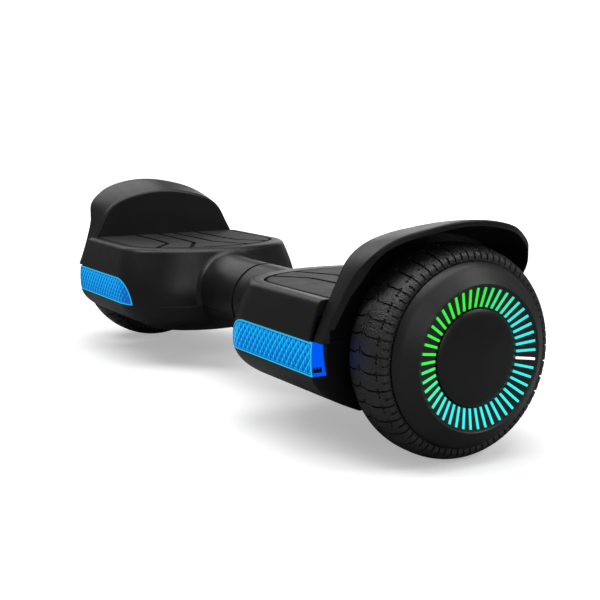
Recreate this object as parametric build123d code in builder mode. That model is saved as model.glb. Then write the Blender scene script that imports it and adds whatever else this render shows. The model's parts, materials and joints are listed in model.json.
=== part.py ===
from build123d import *
import os

os.makedirs("parts", exist_ok=True)

# ---- driving dimensions, millimetres -------------------------------------------------------
# X runs along the wheel axles, -Y is the front with the lights, Z is up, the floor is Z = 0.
TYRE_R = 80.0               # tread crown radius, also the axle height
TYRE_HALF_WIDTH = 22.3
TYRE_SHOULDER_R = 73.2
RIM_R = 60.0
WHEEL_X = 278.9             # centre plane of a wheel
BODY_END_X = 245.0          # outboard end of a half body
COVER_BOTTOM_Z = 34.0
PARTING_Z = 64.0            # joint line between the top and bottom covers
TOP_Z = 119.5               # rim of the foot deck
WALL = 3.0                  # moulded wall thickness
NECK_Z = 77.0               # pivot axis height
NECK_R = 35.0
SEAM_X = -6.0               # plane where the two halves turn against each other
SEAM_GAP = 1.8
COLLAR_REACH = 8.0          # the left neck's inner collar, which covers the seam from inside
COLLAR_GAP = 0.4
COLLAR_THICK = 2.4
RIM_FILLET = 6.0            # soft edge around the foot deck
LIGHT_TOP_Z = 89.5
FENDER_THICK = 4.5
FENDER_CREASE = 3.0         # soft edge between the fender wall and its arch
PAD_TRAVEL = 1.5
AXLE_R = 8.0
PIVOT_R = 14.0
BUSH_R = 17.0
RUNNING_CLEARANCE = 0.05
BEARING_R = 16.0

# height, half width, nose tip X, X where the nose ellipse begins
BOTTOM_SECTIONS = ((34, 57, 100, 140), (40, 71, 86, 134), (50, 88, 76, 131), (PARTING_Z, 98, 71, 130))
TOP_SECTIONS = ((PARTING_Z, 98, 71, 130), (90, 98, 73, 135), (105, 94.5, 77, 140), (TOP_Z, 89.5, 80, 145))

# X, then (Y, Z) points of half an arch from the crest down to the leg
FENDER_ARCHES = (
    (245, ((0, 168.8), (34, 164.8), (56, 157), (68, 147), (76, 133), (83, 119.5), (96, 90))),
    (272, ((0, 174.6), (35, 170.2), (58, 162.4), (71.5, 151.6), (79, 136.6), (84.6, 121), (96.8, 90))),
    (304, ((0, 178), (36, 173.6), (61, 165.4), (74.5, 154.5), (82.5, 140), (87, 122), (98, 90))),
)
# plan outline of the fender lip, X and Y: it bulges into an ear at the shoulder and then draws back
FENDER_LIP = ((303, 0), (301, 28), (294, 47.5), (286, 62), (282, 69.5), (277.5, 73.5), (270.5, 76),
              (264.5, 79), (260.5, 84), (257, 91), (255, 104))
LIP_CUT_X = 306.0           # just outboard of the lip
LIP_EDGE = 1.2              # rounding of the fender's outer lip

# fasteners and deck
SCREW_SPOTS = ((124, 44), (232, 44))
PAD_STOP_SPOTS = ((128, 40), (222, 55))
TRAY_LOW = 107.5            # underside of the tray below the foot pad
TRAY_HIGH = 109.8
PAD_HALF_WIDTH = 79.0
PAD_TIP_X = 98.0
PAD_NOSE_X = 150.0
PAD_GAP = 1.4
PAD_GROOVES = (((94, 40), (108, 28), (140, 11), (246, 9)), ((112, 66), (143, 39), (177, 36), (246, 36)))
GROOVE_WIDTH = 4.0
GROOVE_DEPTH = 2.2
GROOVE_BEND = 16.0
PAD_SLOPE = (2.5, 0.8)      # width and height of the sloped border around the pad
END_WALL_X = 241.0
FRAME_SCREWS = ((146, 56), (204, 56))
COLUMN_TOP = 103.0          # top of the frame's columns, where the tray bosses rest
SENSOR_Z = 105.6
SENSOR_POSTS = ((154, 24), (208, 24))
SENSOR_SPOTS = ((166, 18), (196, 18))
CAVITY_TOP = ((PARTING_Z, 98, 71, 130), (90, 98, 73, 135), (TRAY_LOW, 93.6, 77.7, 140.8))
CAVITY_BOTTOM = ((COVER_BOTTOM_Z + WALL, 64, 94, 137), (50, 88, 76, 131), (PARTING_Z, 98, 71, 130))

# frame and pivot
PIVOT_BOSS = (86.0, 110.0)
SADDLE = (212.0, 238.0)
CLAMP_BOLTS = ((217.5, 15), (232.5, 15))
RAIL = (46.0, 58.0)         # bottom and top of the frame's side rails
RING_THICK = 1.5
LUG_ANGLE = 14.5            # half angle of the stop lug, degrees
STOP_PIN_SPOT = (12.0, -17.0)
STOP_PIN_R = 2.5

# hub motor wheel and its light
HUB_IN = 259.0
HUB_OUT = 299.0
MAGNET_R = 50.5
CAP_R = 35.4
BAR_COUNT = 47
BAR_START = 354.0           # angle of the first bar, degrees from +Y towards +Z
BAR_INNER_R = 36.9
BAR_OUTER_R = 51.2
BAR_WIDTH = 1.7

# electronics, charge port and power button
BOARD_Z = 60.0
BOARD_SPOTS = ((136, 36), (198, 36))
SPEAKER_X = 167.0
PORT_X = -168.0
PORT_Z = 80.0
POCKET_Y = 90.0             # floor of the charge pocket
HINGE_Z = PORT_Z + 12.5
HINGE_Y = 93.2
SOCKET_R = 5.5
SOCKET_DEPTH = 12.0
BUTTON_X = -214.0
BUTTON_R = 8.0


def export(solid, label):
    """Name a finished piece and write it out."""
    solid.label = label
    export_step(solid, f"parts/{label}.step")


def export_pair(piece, label):
    """Write the left piece as built and the right piece as its mirror image."""
    export(piece.part, f"{label}_left")
    export(mirror(piece.part, about=Plane.YZ), f"{label}_right")


def d_outline(half_width, tip, start, end):
    """Draw a plan outline: straight sides, a square outboard end and a half-ellipse nose."""
    with BuildLine() as outline:
        EllipticalCenterArc((start, 0), start - tip, half_width, start_angle=90, arc_size=180)
        Polyline((start, half_width), (end, half_width), (end, -half_width), (start, -half_width))
    make_face(outline.edges())


def hull(sections, inset=0.0, end=BODY_END_X):
    """Loft the body through its plan outlines, moved inwards by inset."""
    with BuildPart() as body:
        for height, half_width, tip, start in sections:
            with BuildSketch(Plane.XY.offset(height)):
                d_outline(half_width - inset, tip + inset, start + inset, end)
        loft()
    return body


def neck(radius, start, stop, flare):
    """Turn the round neck that carries the pivot, flared towards the body."""
    axis = Plane(origin=(0, 0, NECK_Z), x_dir=(1, 0, 0), z_dir=(0, -1, 0))
    with BuildPart() as tube:
        with BuildSketch(axis):
            with BuildLine():
                Line((start, 0), (start, radius))
                Spline((start, radius), (start + 36, radius), (stop, radius + flare),
                       tangents=((1, 0), (1, 0.45)))
                Line((stop, radius + flare), (stop, 0))
                Line((stop, 0), (start, 0))
            make_face()
        revolve(axis=Axis((0, 0, NECK_Z), (1, 0, 0)))
    return tube


def ring(plane, outer, inner, length, mode=Mode.ADD):
    """Extrude a flat ring along the plane's normal."""
    with BuildSketch(plane) as face:
        Circle(outer)
        if inner:
            Circle(inner, mode=Mode.SUBTRACT)
    extrude(face.sketch, amount=length, mode=mode)


def wheel_plane(x):
    """Plane across the axle line at a given X, facing outboard."""
    return Plane(origin=(x, 0, TYRE_R), x_dir=(0, 1, 0), z_dir=(1, 0, 0))


def pivot_plane(x):
    """Plane across the pivot line at a given X."""
    return Plane(origin=(x, 0, NECK_Z), x_dir=(0, 1, 0), z_dir=(1, 0, 0))


def turned(points, centre=TYRE_R, mode=Mode.ADD):
    """Revolve a closed outline of (X, radius) points about the axle line."""
    with BuildSketch(Plane.XZ) as section:
        with BuildLine():
            Polyline(*[(x, centre + r) for x, r in points], close=True)
        make_face()
    revolve(section.sketch, axis=Axis((0, 0, centre), (1, 0, 0)), mode=mode)


# ---- body shells ---------------------------------------------------------------------------

def light_window(clearance=0.0):
    """Cut-out for the front light: square at the wheel end, a quarter round at the nose end."""
    low = PARTING_Z + 0.3 - clearance
    high = LIGHT_TOP_Z + clearance
    corner = 136.0
    radius = high - low
    with BuildPart() as prism:
        with BuildSketch(Plane.XZ.offset(86)):
            with BuildLine():
                Line((corner - radius, low), (BODY_END_X + 1, low))
                Line((BODY_END_X + 1, low), (BODY_END_X + 1, high))
                Line((BODY_END_X + 1, high), (corner, high))
                CenterArc((corner, low), radius, 90, 90)
            make_face()
        extrude(amount=20)
    return prism


def posts(radius, low, high, spots):
    """Round posts at each spot, mirrored front to back."""
    for x, y in spots:
        for side in (-y, y):
            with BuildSketch(Plane.XY.offset(low)) as face:
                with Locations((x, side)):
                    Circle(radius)
            extrude(face.sketch, amount=high - low)


def drill(radius, low, high, spots):
    """Round holes at each spot, mirrored front to back."""
    for x, y in spots:
        for side in (-y, y):
            with BuildSketch(Plane.XY.offset(low)) as face:
                with Locations((x, side)):
                    Circle(radius)
            extrude(face.sketch, amount=high - low, mode=Mode.SUBTRACT)


def block(x, y, z, mode=Mode.ADD):
    """Box between (low, high) pairs along X, Y and Z."""
    size = [high - low for low, high in (x, y, z)]
    centre = [(high + low) / 2 for low, high in (x, y, z)]
    with Locations(tuple(centre)):
        Box(*size, mode=mode)


def neck_collar(seam, keep):
    """Collar inside the neck that reaches across the seam, cut at the covers' joint line."""
    bore = NECK_R - WALL
    with BuildPart() as collar:
        ring(pivot_plane(seam - COLLAR_REACH), bore - COLLAR_GAP, bore - COLLAR_THICK, COLLAR_REACH)
        ring(pivot_plane(seam), bore + 0.3, bore - COLLAR_THICK, COLLAR_REACH)
        split(bisect_by=Plane.XY.offset(PARTING_Z), keep=keep)
    return collar


def top_cover(seam):
    """Upper shell of a half with the neck's upper part, the pad tray and the screw posts."""
    outer_neck = neck(NECK_R, seam, 96, 7)
    inner_neck = neck(NECK_R - WALL, seam, 88, 3)
    with BuildPart() as cover:
        add(hull(TOP_SECTIONS).part)
        rim = cover.edges().group_by(Axis.Z)[-1]
        fillet(rim.filter_by(lambda e: e.center().X < BODY_END_X - 1), RIM_FILLET)
        add(split(outer_neck.part, bisect_by=Plane.XY.offset(PARTING_Z), keep=Keep.TOP, mode=Mode.PRIVATE))
        blend = cover.edges().filter_by(
            lambda e: 60 < e.center().X < 100 and e.bounding_box().size.Y > 20
            and e.bounding_box().size.Z > 20 and abs(e.center().Y) < 50)
        fillet(blend, 7)
        add(hull(CAVITY_TOP, WALL, END_WALL_X).part, mode=Mode.SUBTRACT)
        add(inner_neck.part, mode=Mode.SUBTRACT)
        block((END_WALL_X - 1, BODY_END_X + 1), (-88, 88), (LIGHT_TOP_Z, TRAY_LOW), Mode.SUBTRACT)
        block((END_WALL_X, BODY_END_X + 1), (-120, 120), (LIGHT_TOP_Z, TOP_Z + 1), Mode.SUBTRACT)
        with BuildSketch(Plane.XY.offset(TRAY_HIGH)):
            d_outline(PAD_HALF_WIDTH + PAD_GAP, PAD_TIP_X - PAD_GAP, PAD_NOSE_X - PAD_GAP, BODY_END_X)
        extrude(amount=TOP_Z - TRAY_HIGH + 1, mode=Mode.SUBTRACT)
        add(light_window(0.1).part, mode=Mode.SUBTRACT)
        posts(5.5, PARTING_Z - 25.5, TRAY_LOW, SCREW_SPOTS)
        posts(5.0, COLUMN_TOP, TRAY_LOW, FRAME_SCREWS)
        posts(3.0, SENSOR_Z, TRAY_LOW, SENSOR_POSTS)
        posts(5.0, TRAY_HIGH, TRAY_HIGH + 1.2, PAD_STOP_SPOTS)
        drill(1.9, PARTING_Z - 26, PARTING_Z - 8, SCREW_SPOTS)
        drill(2.4, COLUMN_TOP - 1, TRAY_LOW + 1, FRAME_SCREWS)
        drill(3.5, TRAY_LOW - 1, TRAY_HIGH + 1, SENSOR_SPOTS)
        ring(wheel_plane(END_WALL_X - 1), AXLE_R + 1.0, 0, BODY_END_X - END_WALL_X + 2, Mode.SUBTRACT)
    return cover


def bottom_cover(seam):
    """Lower shell of a half with the neck's lower part and the countersunk screw holes."""
    outer_neck = neck(NECK_R, seam, 96, 7)
    inner_neck = neck(NECK_R - WALL, seam, 88, 3)
    with BuildPart() as cover:
        add(hull(BOTTOM_SECTIONS).part)
        base = cover.edges().group_by(Axis.Z)[0]
        fillet(base.filter_by(lambda e: e.center().X < BODY_END_X - 1), 3)
        add(split(outer_neck.part, bisect_by=Plane.XY.offset(PARTING_Z), keep=Keep.BOTTOM, mode=Mode.PRIVATE))
        add(hull(CAVITY_BOTTOM, WALL, END_WALL_X).part, mode=Mode.SUBTRACT)
        add(inner_neck.part, mode=Mode.SUBTRACT)
        drill(2.3, COVER_BOTTOM_Z - 1, COVER_BOTTOM_Z + WALL + 1, SCREW_SPOTS)
        drill(4.2, COVER_BOTTOM_Z - 1, COVER_BOTTOM_Z + 1.5, SCREW_SPOTS)
    return cover


def light_lens():
    """Clear front lens that follows the shell and wraps the outboard corner."""
    with BuildPart() as lens:
        add(hull(TOP_SECTIONS).part)
        add(hull(CAVITY_TOP, WALL + 0.6, END_WALL_X + 0.4).part, mode=Mode.SUBTRACT)
        add(light_window().part, mode=Mode.INTERSECT)
    return lens


def light_strip():
    """Narrow circuit board with a row of light emitters, behind the lens."""
    with BuildPart() as strip:
        block((146, 236), (-90.0, -88.4), (67, 87))
        for index in range(9):
            centre = 152 + index * 9.5
            block((centre - 2, centre + 2), (-91.2, -90.0), (75, 79))
    return strip


def arch_face(x, points, inset=0.0):
    """Cross-section of the fender at one X: a tall arch standing on the light's top edge."""
    right = [(y, z) for y, z in points]
    left = [(-y, z) for y, z in reversed(points[1:])]
    plane = Plane(origin=(x, 0, 0), x_dir=(0, 1, 0), z_dir=(1, 0, 0))
    with BuildSketch(plane) as face:
        with BuildLine():
            Spline(*left, *right)
            Line(left[0], right[-1])
        make_face()
        if inset:
            offset(amount=-inset)
    return face.sketch


def fender():
    """Mudguard: an upright wall that closes the half body and a flared arch above the tyre."""
    foot = LIGHT_TOP_Z + 0.5
    with BuildPart() as hollow:
        loft(sections=[arch_face(x, points, FENDER_THICK) for x, points in FENDER_ARCHES])
        block((BODY_END_X, LIP_CUT_X), (-90, 90), (60, 100))
    with BuildPart() as guard:
        loft(sections=[arch_face(x, points) for x, points in FENDER_ARCHES])
        add(hollow.part, mode=Mode.SUBTRACT)
        wall = arch_face(END_WALL_X, FENDER_ARCHES[0][1])
        extrude(wall, amount=BODY_END_X - END_WALL_X)
        with BuildSketch(Plane.XY.offset(60)):
            with BuildLine():
                Spline(*[(x, -y) for x, y in reversed(FENDER_LIP[1:])], *FENDER_LIP)
                end_x, end_y = FENDER_LIP[-1]
                Polyline((end_x, end_y), (END_WALL_X, end_y), (END_WALL_X, -end_y), (end_x, -end_y))
            make_face()
        extrude(amount=140, mode=Mode.INTERSECT)
        block((END_WALL_X - 1, LIP_CUT_X), (-120, 120), (60, foot), Mode.SUBTRACT)
        crease = guard.edges().filter_by(
            lambda e: abs(e.center().X - END_WALL_X) < 0.1 and e.bounding_box().size.Z > 40)
        fillet(crease, FENDER_CREASE)
        lip = guard.edges().filter_by(lambda e: e.center().X > END_WALL_X + 10 and e.length > 150)
        fillet(lip.sort_by(lambda e: e.length)[-1:], LIP_EDGE)
    return guard


# ---- frame, pivot and foot pads ------------------------------------------------------------


def chassis():
    """Cast frame of a half: two low rails, columns under the tray, axle seat and pivot boss."""
    with BuildPart() as frame:
        for side in (-1, 1):
            block((107, SADDLE[1]), sorted((side * 50, side * 60)), RAIL)
        block(SADDLE, (-60, 60), (RAIL[0], 60))
        block(SADDLE, (-22, 22), (RAIL[0], TYRE_R - 0.2))
        block((PIVOT_BOSS[0] + 14, PIVOT_BOSS[1]), (-52, 52), RAIL)
        block(PIVOT_BOSS, (-21.5, 21.5), (55.5, 98))
        posts(6.0, RAIL[1] - 1, COLUMN_TOP, FRAME_SCREWS)
        ring(wheel_plane(SADDLE[0] - 1), AXLE_R, 0, 30, Mode.SUBTRACT)
        ring(pivot_plane(PIVOT_BOSS[0] - 1), BUSH_R, 0, 30, Mode.SUBTRACT)
        drill(6.5, 40, TYRE_R, SCREW_SPOTS)
        drill(2.6, 40, COLUMN_TOP + 1, FRAME_SCREWS)
        drill(2.5, RAIL[0] + 4, TYRE_R, CLAMP_BOLTS)
    return frame


def axle_clamp():
    """Upper half of the axle seat, pulled down on the axle by four bolts."""
    with BuildPart() as clamp:
        block(SADDLE, (-22, 22), (TYRE_R + 0.2, 94))
        fillet(clamp.edges().filter_by(Axis.X).group_by(Axis.Z)[-1], 4)
        ring(wheel_plane(SADDLE[0] - 1), AXLE_R, 0, 30, Mode.SUBTRACT)
        drill(2.6, TYRE_R, 95, CLAMP_BOLTS)
    return clamp


def clamp_bolts():
    """Four bolts down through the clamp into the axle seat, heads upwards."""
    with BuildPart() as group:
        posts(2.5, RAIL[0] + 6, 94, CLAMP_BOLTS)
        posts(4.6, 94, 98.5, CLAMP_BOLTS)
        for x, y in CLAMP_BOLTS:
            for side in (-y, y):
                with BuildSketch(Plane.XY.offset(98.5)):
                    with Locations((x, side)):
                        RegularPolygon(2.5, 6)
                extrude(amount=-2.2, mode=Mode.SUBTRACT)
    return group


def screws(spots, head_z, head_r, head_high, shank_r, shank_top, socket_r):
    """Upright screws with their heads downwards and a hexagonal socket."""
    with BuildPart() as group:
        posts(head_r, head_z, head_z + head_high, spots)
        posts(shank_r, head_z + head_high, shank_top, spots)
        for x, y in spots:
            for side in (-y, y):
                with BuildSketch(Plane.XY.offset(head_z)):
                    with Locations((x, side)):
                        RegularPolygon(socket_r, 6)
                extrude(amount=head_high * 0.5, mode=Mode.SUBTRACT)
    return group


def foot_pad():
    """Foot pad: rubber mat on a stiff base with two feelers for the foot sensor."""
    low = TRAY_HIGH + 1.2 + PAD_TRAVEL + 0.2
    high = TOP_Z + 0.3
    end = END_WALL_X - PAD_GAP
    slope, drop = PAD_SLOPE
    with BuildPart() as pad:
        with BuildSketch(Plane.XY.offset(low)):
            d_outline(PAD_HALF_WIDTH, PAD_TIP_X, PAD_NOSE_X, end)
        extrude(amount=high - drop - low)
        with BuildSketch(Plane.XY.offset(high - drop)):
            d_outline(PAD_HALF_WIDTH, PAD_TIP_X, PAD_NOSE_X, end)
        with BuildSketch(Plane.XY.offset(high)):
            d_outline(PAD_HALF_WIDTH - slope, PAD_TIP_X + slope, PAD_NOSE_X, end)
        loft()
        with BuildSketch(Plane.XY.offset(low)):
            d_outline(PAD_HALF_WIDTH - 6, PAD_TIP_X + 6, PAD_NOSE_X, END_WALL_X - 6)
            with Locations(*[(x, side * y) for x, y in PAD_STOP_SPOTS + SENSOR_SPOTS for side in (-1, 1)]):
                Circle(8, mode=Mode.SUBTRACT)
        extrude(amount=high - low - 3.6, mode=Mode.SUBTRACT)
        posts(2.6, TRAY_LOW + 0.5, low, SENSOR_SPOTS)
        with BuildSketch(Plane.XY.offset(high - GROOVE_DEPTH)):
            for points in PAD_GROOVES:
                for side in (-1, 1):
                    with BuildLine():
                        FilletPolyline(*[(x, side * y) for x, y in points], radius=GROOVE_BEND)
                    trace(line_width=GROOVE_WIDTH)
        extrude(amount=GROOVE_DEPTH + 1, mode=Mode.SUBTRACT)
    return pad


def sensor_board():
    """Tilt and foot sensor board on the chassis deck, under the pad tray."""
    low = SENSOR_Z - 1.4
    with BuildPart() as board:
        block((150, 212), (-28, 28), (low, low + 1.4))
        block((174, 186), (-6, 6), (low - 1.6, low))
        for x in (158, 199):
            block((x, x + 5), (-8, 8), (low - 3.0, low))
    return board


# ---- hub motor wheel -----------------------------------------------------------------------


def turned_part(points):
    """Revolve one closed (X, radius) outline into its own part."""
    with BuildPart() as part:
        turned(points)
    return part


def axle():
    """Fixed axle shaft with a wiring bore, held by the clamp at its inboard end."""
    with BuildPart() as shaft:
        ring(wheel_plane(206), AXLE_R, 3.0, 88)
        chamfer(shaft.edges().filter_by(GeomType.CIRCLE).group_by(Axis.X)[0], 0.8)
    return shaft


def stator_core():
    """Slotted lamination stack on the axle."""
    slots = 18
    with BuildPart() as core:
        with BuildSketch(wheel_plane(270)):
            Circle(50.0)
            Circle(AXLE_R, mode=Mode.SUBTRACT)
            with PolarLocations(37, slots, start_angle=10):
                Rectangle(22, 7.5, mode=Mode.SUBTRACT)
            with PolarLocations(48, slots, start_angle=10):
                Rectangle(6, 3.0, mode=Mode.SUBTRACT)
            with PolarLocations(19, 6):
                Circle(3.5, mode=Mode.SUBTRACT)
        extrude(amount=14)
    return core


def stator_windings():
    """Copper coil bundles, one in each slot of the core."""
    with BuildPart() as coils:
        with BuildSketch(wheel_plane(266.5)):
            with PolarLocations(37, 18, start_angle=10):
                Rectangle(21.4, 7.0)
        extrude(amount=21)
        fillet(coils.edges().filter_by(lambda e: abs(e.center().X - 277) > 10), 1.0)
    return coils


def magnet_ring():
    """Rotor magnets, evenly spaced inside the rim."""
    with BuildPart() as magnets:
        with BuildSketch(wheel_plane(267)):
            Circle(55.0)
            Circle(MAGNET_R, mode=Mode.SUBTRACT)
            with PolarLocations(53, 20):
                Rectangle(8, 1.6, mode=Mode.SUBTRACT)
        extrude(amount=22)
    return magnets


def hub_shell():
    """Cast rim, outer plate and outer bearing seat of the wheel motor."""
    return turned_part(((HUB_OUT, 0), (HUB_OUT, RIM_R), (HUB_IN + 4.6, RIM_R), (HUB_IN + 4.6, 55),
                        (294.5, 55), (294.5, 21), (286, 21), (286, BEARING_R), (295, BEARING_R), (295, 0)))


def side_cover():
    """Inner motor plate with the inner bearing seat and its ring of screw holes."""
    with BuildPart() as plate:
        turned(((HUB_IN, 9.5), (HUB_IN, 59.6), (HUB_IN + 4.5, 59.6), (HUB_IN + 4.5, 21),
                (268.5, 21), (268.5, BEARING_R), (260, BEARING_R), (260, 9.5)))
        with BuildSketch(wheel_plane(HUB_IN)):
            with PolarLocations(57.5, 6):
                Circle(1.6)
        extrude(amount=1.2, mode=Mode.SUBTRACT)
    return plate


def bearings():
    """The two ball bearings between axle and wheel, as plain closed rings."""
    with BuildPart() as pair:
        for start in (260.0, 286.2):
            turned(((start, AXLE_R + RUNNING_CLEARANCE), (start, BEARING_R), (start + 8, BEARING_R),
                    (start + 8, AXLE_R + RUNNING_CLEARANCE)))
    return pair


def tyre():
    """Solid tyre with a crowned tread and cross grooves."""
    inner, outer = WHEEL_X - TYRE_HALF_WIDTH, WHEEL_X + TYRE_HALF_WIDTH
    with BuildPart() as body:
        with BuildSketch(Plane.XZ) as section:
            with BuildLine():
                Polyline((inner, TYRE_R + TYRE_SHOULDER_R), (inner + 0.5, TYRE_R + 69), (HUB_IN, TYRE_R + 67),
                         (HUB_IN, TYRE_R + RIM_R), (HUB_OUT, TYRE_R + RIM_R), (HUB_OUT, TYRE_R + 68.5),
                         (outer - 0.6, TYRE_R + 70), (outer, TYRE_R + TYRE_SHOULDER_R))
                Spline((outer, TYRE_R + TYRE_SHOULDER_R), (WHEEL_X + 15, TYRE_R + 77.9),
                       (WHEEL_X, 2 * TYRE_R), (WHEEL_X - 15, TYRE_R + 77.9),
                       (inner, TYRE_R + TYRE_SHOULDER_R))
            make_face()
        revolve(axis=Axis((0, 0, TYRE_R), (1, 0, 0)))
    return body


def light_bars(x, length, grow=0.0, mode=Mode.ADD):
    """Ring of radial bars, extruded outboard from X."""
    middle = (BAR_INNER_R + BAR_OUTER_R) / 2
    with BuildSketch(wheel_plane(x)) as face:
        with PolarLocations(middle, BAR_COUNT, start_angle=BAR_START):
            Rectangle(BAR_OUTER_R - BAR_INNER_R + 2 * grow, BAR_WIDTH + 2 * grow)
    extrude(face.sketch, amount=length, mode=mode)


def wheel_cover():
    """Dished trim over the hub with slots for the light bars and a hole for the hub cap."""
    back = HUB_OUT + 0.2
    with BuildPart() as trim:
        with BuildSketch(Plane.XZ):
            with BuildLine():
                Spline((301.9, TYRE_R + 68.2), (309.2, TYRE_R + 62.5), (313.8, TYRE_R + 53.9))
                Polyline((313.8, TYRE_R + 53.9), (309.4, TYRE_R + 52.6), (309.4, TYRE_R + CAP_R + 0.3),
                         (back, TYRE_R + CAP_R + 0.3), (back, TYRE_R + CAP_R + 1.1),
                         (307.4, TYRE_R + CAP_R + 1.1), (307.4, TYRE_R + 53.7),
                         (310.4, TYRE_R + 55.4), (301.6, TYRE_R + 64.2), (301.6, TYRE_R + 62),
                         (back, TYRE_R + 62), (back, TYRE_R + 67.8), (301.9, TYRE_R + 68.2))
            make_face()
        revolve(axis=Axis((0, 0, TYRE_R), (1, 0, 0)))
        light_bars(307, 3, 0.1, Mode.SUBTRACT)
    return trim


def light_ring():
    """Diffuser: a flat ring behind the trim with a raised bar in every slot."""
    with BuildPart() as diffuser:
        ring(wheel_plane(304.4), 53.2, CAP_R + 1.8, 2.8)
        light_bars(307.2, 2.9)
    return diffuser


def hub_cap():
    """Domed cap that snaps into the middle of the trim."""
    back = HUB_OUT + 0.3
    with BuildPart() as cap:
        with BuildSketch(Plane.XZ):
            with BuildLine():
                Polyline((back, TYRE_R + CAP_R - 2), (back, TYRE_R + CAP_R), (310.6, TYRE_R + CAP_R))
                Spline((310.6, TYRE_R + CAP_R), (312.9, TYRE_R + 24), (314.6, TYRE_R),
                       tangents=((0.5, -0.9), (0, -1)))
                Polyline((314.6, TYRE_R), (312.4, TYRE_R), (308.6, TYRE_R + CAP_R - 2),
                         (back, TYRE_R + CAP_R - 2))
            make_face()
        revolve(axis=Axis((0, 0, TYRE_R), (1, 0, 0)))
    return cap


# ---- the pieces that come in left and right pairs --------------------------------------------

PAIRED = {
    "fender": fender, "front_lens": light_lens, "light_strip": light_strip, "chassis": chassis,
    "axle_clamp": axle_clamp, "clamp_bolts": clamp_bolts, "foot_pad": foot_pad,
    "sensor_board": sensor_board, "axle": axle, "stator_core": stator_core,
    "stator_windings": stator_windings, "magnet_ring": magnet_ring,
    "hub_shell": hub_shell, "side_cover": side_cover, "wheel_bearings": bearings, "tyre": tyre,
    "wheel_cover": wheel_cover, "light_ring": light_ring, "hub_cap": hub_cap,
}
for label, make in PAIRED.items():
    export_pair(make(), label)

# spots, head bottom, head radius, head height, shank radius, shank top, socket radius
SCREW_SETS = {
    "cover_screws": (SCREW_SPOTS, COVER_BOTTOM_Z + 0.2, 3.9, 1.3, 1.8, PARTING_Z - 9, 1.6),
    "frame_screws": (FRAME_SCREWS, RAIL[0] - 3.5, 4.2, 3.5, 2.3, TRAY_LOW + 0.9, 2.0),
}
for label, sizes in SCREW_SETS.items():
    export_pair(screws(*sizes), label)

# ---- left half: covers, electronics ----------------------------------------------------------


LEFT_SEAM = SEAM_X + SEAM_GAP / 2

with BuildPart() as top_cover_left:
    add(top_cover(LEFT_SEAM).part)
    add(neck_collar(LEFT_SEAM, Keep.TOP).part)
export(top_cover_left.part, "top_cover_left")

with BuildPart() as bottom_cover_left:
    add(bottom_cover(LEFT_SEAM).part)
    add(neck_collar(LEFT_SEAM, Keep.BOTTOM).part)
    posts(3.0, COVER_BOTTOM_Z + WALL - 0.1, BOARD_Z, BOARD_SPOTS)
    with BuildSketch(Plane.XY.offset(COVER_BOTTOM_Z - 1)):
        with Locations((SPEAKER_X, 0)):
            with PolarLocations(9, 8):
                Circle(1.5)
            with PolarLocations(4, 4):
                Circle(1.5)
    extrude(amount=WALL + 2, mode=Mode.SUBTRACT)
export(bottom_cover_left.part, "bottom_cover_left")

with BuildPart() as main_board:
    block((130, 204), (-42, 42), (BOARD_Z, BOARD_Z + 1.6))
    top = BOARD_Z + 1.6
    block((134, 162), (-38, -22), (top, top + 12))
    for y in (-8, 6, 20, 34):
        block((135, 147), (y - 4, y + 4), (top, top + 8))
    for x in (182, 195):
        with BuildSketch(Plane.XY.offset(top)):
            with Locations((x, 28)):
                Circle(5)
        extrude(amount=16)
    block((172, 200), (-36, 12), (top, top + 3))
    for y in range(-34, 12, 5):
        block((172, 200), (y - 0.8, y + 0.8), (top + 3, top + 14))
export(main_board.part, "main_board")

with BuildPart() as speaker:
    with BuildSketch(Plane.XY.offset(COVER_BOTTOM_Z + WALL)):
        with Locations((SPEAKER_X, 0)):
            Circle(18)
    extrude(amount=4)
    with BuildSketch(Plane.XY.offset(COVER_BOTTOM_Z + WALL + 4)):
        with Locations((SPEAKER_X, 0)):
            Circle(14)
    extrude(amount=8, taper=12)
export(speaker.part, "speaker")

# ---- pivot between the halves ----------------------------------------------------------------


with BuildPart() as pivot_shaft:
    ring(pivot_plane(-PIVOT_BOSS[1] - 6), PIVOT_R, 10.0, 2 * PIVOT_BOSS[1] + 12)
export(pivot_shaft.part, "pivot_shaft")

with BuildPart() as pivot_sleeve:
    ring(pivot_plane(PIVOT_BOSS[0]), BUSH_R, PIVOT_R, PIVOT_BOSS[1] - PIVOT_BOSS[0])
    ring(pivot_plane(PIVOT_BOSS[1]), BUSH_R + 3, PIVOT_R, RING_THICK)
export(pivot_sleeve.part, "pivot_sleeve")

with BuildPart() as pivot_bushing:
    ring(pivot_plane(-PIVOT_BOSS[1]), BUSH_R, PIVOT_R + RUNNING_CLEARANCE, PIVOT_BOSS[1] - PIVOT_BOSS[0])
export(pivot_bushing.part, "pivot_bushing")

with BuildPart() as stop_plate:
    plane = pivot_plane(-PIVOT_BOSS[1] - 2.2)
    ring(plane, 17.0, PIVOT_R, -3.0)
    with BuildSketch(plane) as lug:
        with BuildLine():
            foot = (Vector(0, -15.5).rotate(Axis.Z, LUG_ANGLE), Vector(0, -15.5).rotate(Axis.Z, -LUG_ANGLE))
            tip = (Vector(0, -24.0).rotate(Axis.Z, -LUG_ANGLE), Vector(0, -24.0).rotate(Axis.Z, LUG_ANGLE))
            Polyline(*foot, *tip, close=True)
        make_face()
    extrude(lug.sketch, amount=-3.0)
export(stop_plate.part, "stop_plate")

with BuildPart() as stop_pins:
    for y in (-STOP_PIN_SPOT[0], STOP_PIN_SPOT[0]):
        with BuildSketch(pivot_plane(-PIVOT_BOSS[1])):
            with Locations((y, STOP_PIN_SPOT[1])):
                Circle(STOP_PIN_R)
        extrude(amount=-6)
export(stop_pins.part, "stop_pins")

# ---- right half: covers, battery, charge port and power button --------------------------------


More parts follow.
